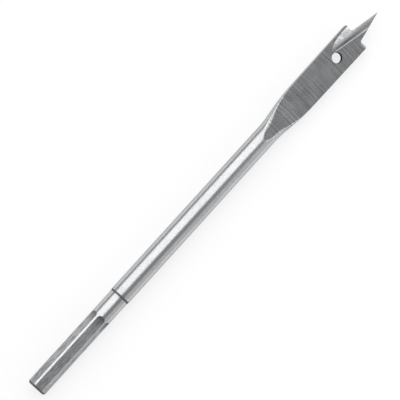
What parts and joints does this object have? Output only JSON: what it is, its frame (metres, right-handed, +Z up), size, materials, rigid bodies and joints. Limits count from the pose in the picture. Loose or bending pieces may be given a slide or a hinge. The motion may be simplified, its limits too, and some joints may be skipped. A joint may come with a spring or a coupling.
{
  "type": "spade drill bit",
  "caption": "Flat wood-boring bit: hex-ground shank, round shaft that flares into a flat ground blade with a hollow-ground centre spur, cutting lips and a small hole.",
  "frame": {"origin": "on the surface the bit lies on, under the middle of its length", "axes": "+X along the bit's axis to the tip, +Z up, with the bit lying on its shaft and its faces leaning 10 degrees about X towards -Y"},
  "size_m": [0.1524, 0.0096, 0.0066],
  "materials": {
    "tool_steel": "forged and ground, bright"
  },
  "bodies": {
    "root": {"spade_bit": "tool_steel"}
  },
  "joints": []
}
